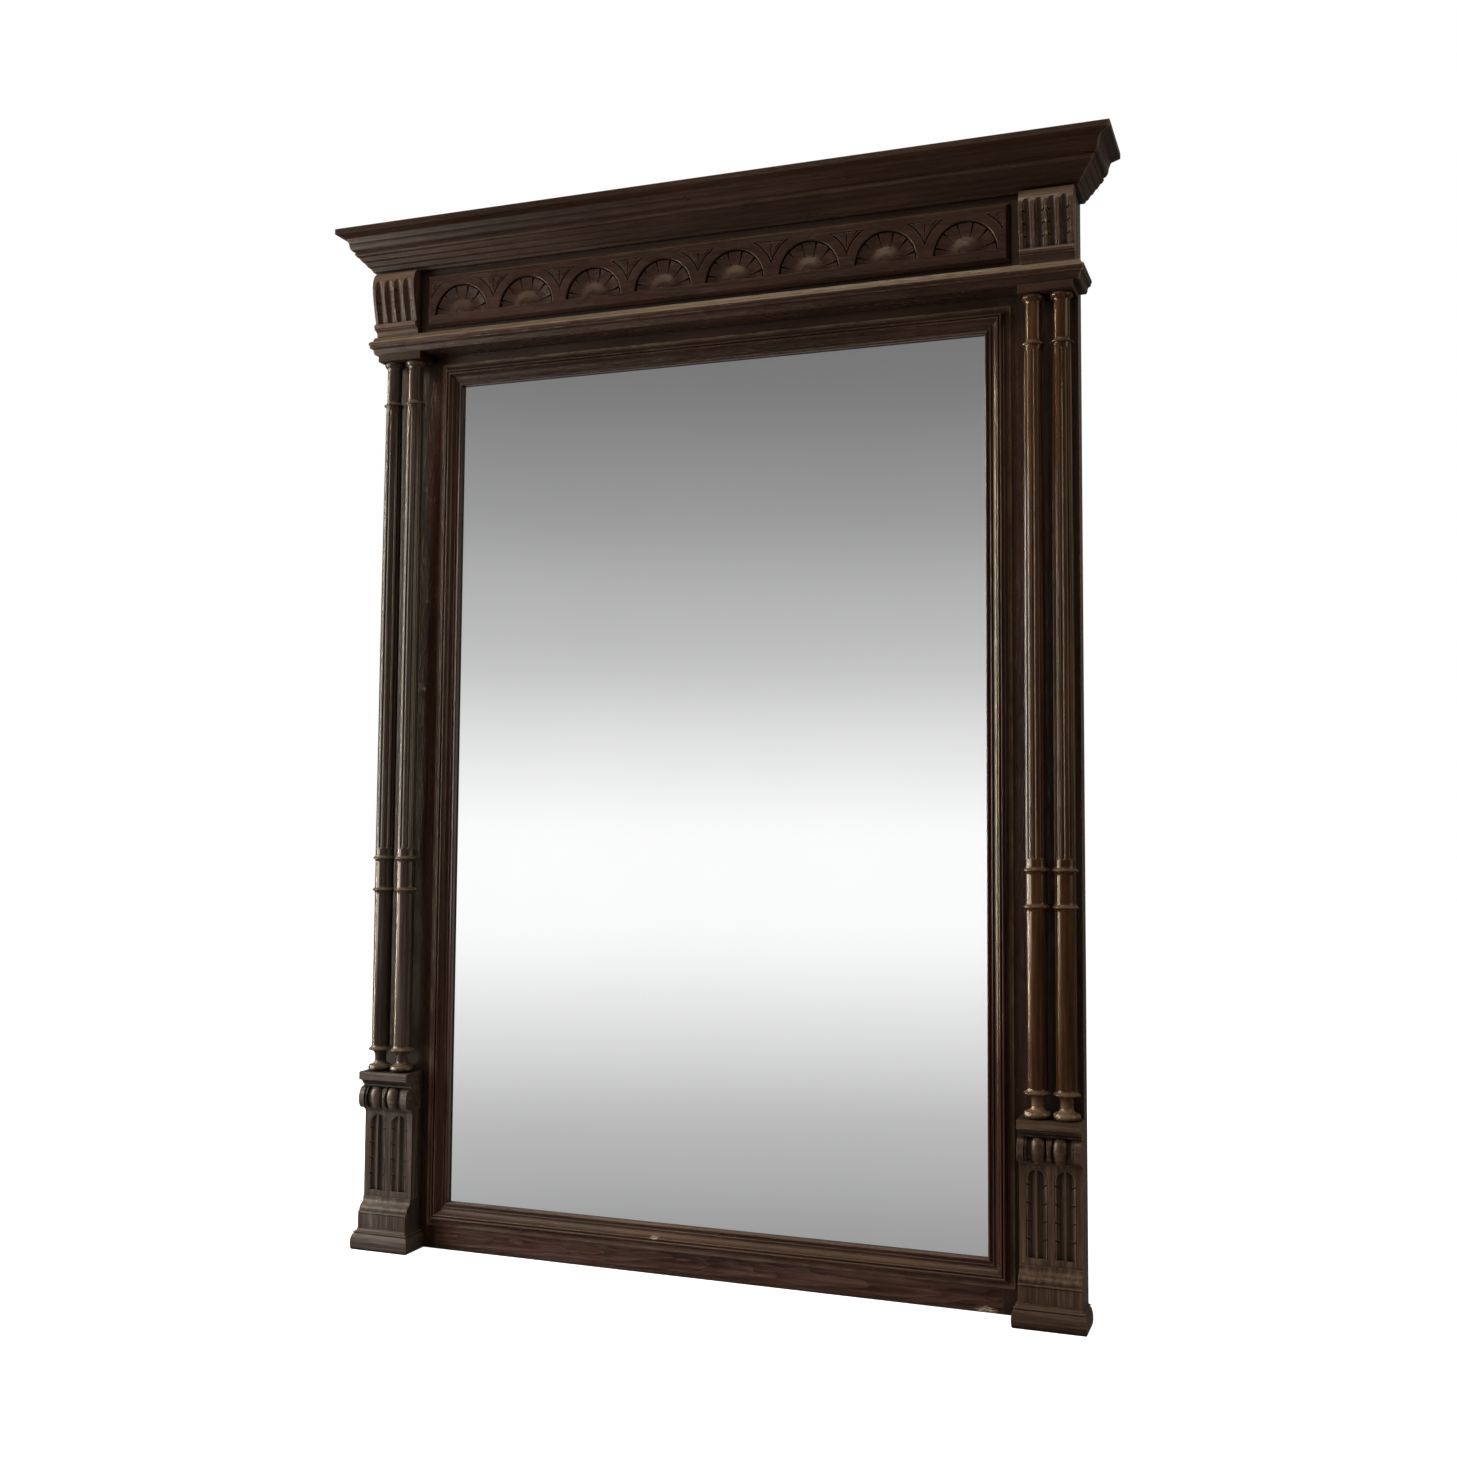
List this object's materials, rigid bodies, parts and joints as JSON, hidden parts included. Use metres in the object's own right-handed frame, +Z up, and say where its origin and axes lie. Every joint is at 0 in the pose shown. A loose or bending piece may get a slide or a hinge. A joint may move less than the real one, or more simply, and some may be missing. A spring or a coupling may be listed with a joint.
{
  "type": "trumeau mirror",
  "caption": "Tall overmantel mirror in carved dark oak: paired fluted colonnettes on pedestals, an arcaded shell frieze and a stepped cornice round a plain looking glass.",
  "frame": {"origin": "on the floor, under the middle of the mirror's whole box", "axes": "+X to the viewer's right, the front faces -Y and the back faces +Y, +Z up"},
  "size_m": [1.212, 0.118, 1.6],
  "materials": {
    "oak": "dark stained oak with a worn satin wax",
    "carved_oak": "dark stained carved oak, worn lighter on its edges",
    "turned_oak": "reddish brown turned oak, satin",
    "raw_wood": "aged unstained wood, dry",
    "looking_glass": "silvered looking glass",
    "screw_steel": "dull aged steel"
  },
  "bodies": {
    "root": {"stile_left": "oak", "stile_right": "oak", "bottom_rail": "oak", "top_rail": "oak", "upper_rail": "oak", "tenon_pegs": "raw_wood", "sight_moulding_left": "oak", "sight_moulding_right": "oak", "sight_moulding_top": "oak", "sight_moulding_bottom": "oak", "mirror_glass": "looking_glass", "glass_fillet_left": "raw_wood", "glass_fillet_right": "raw_wood", "glass_fillet_top": "raw_wood", "glass_fillet_bottom": "raw_wood", "backing_boards": "raw_wood", "backing_screws": "screw_steel", "base_moulding_left": "oak", "base_moulding_right": "oak", "plinth_left": "oak", "plinth_right": "oak", "pedestal_die_left": "carved_oak", "pedestal_die_right": "carved_oak", "gadroon_band_left": "carved_oak", "gadroon_band_right": "carved_oak", "pedestal_cap_left": "oak", "pedestal_cap_right": "oak", "colonnette_left_outer": "turned_oak", "colonnette_left_inner": "turned_oak", "colonnette_right_inner": "turned_oak", "colonnette_right_outer": "turned_oak", "impost_block_left": "oak", "impost_block_right": "oak", "ledge_front": "oak", "ledge_return_left": "oak", "ledge_return_right": "oak", "frieze_board": "oak", "frieze_packing_left": "raw_wood", "frieze_packing_right": "raw_wood", "carved_panel": "carved_oak", "console_left": "carved_oak", "console_right": "carved_oak", "bed_moulding_front": "oak", "bed_return_left": "oak", "bed_return_right": "oak", "crown_moulding_front": "oak", "crown_return_left": "oak", "crown_return_right": "oak", "top_board": "oak"}
  },
  "joints": []
}
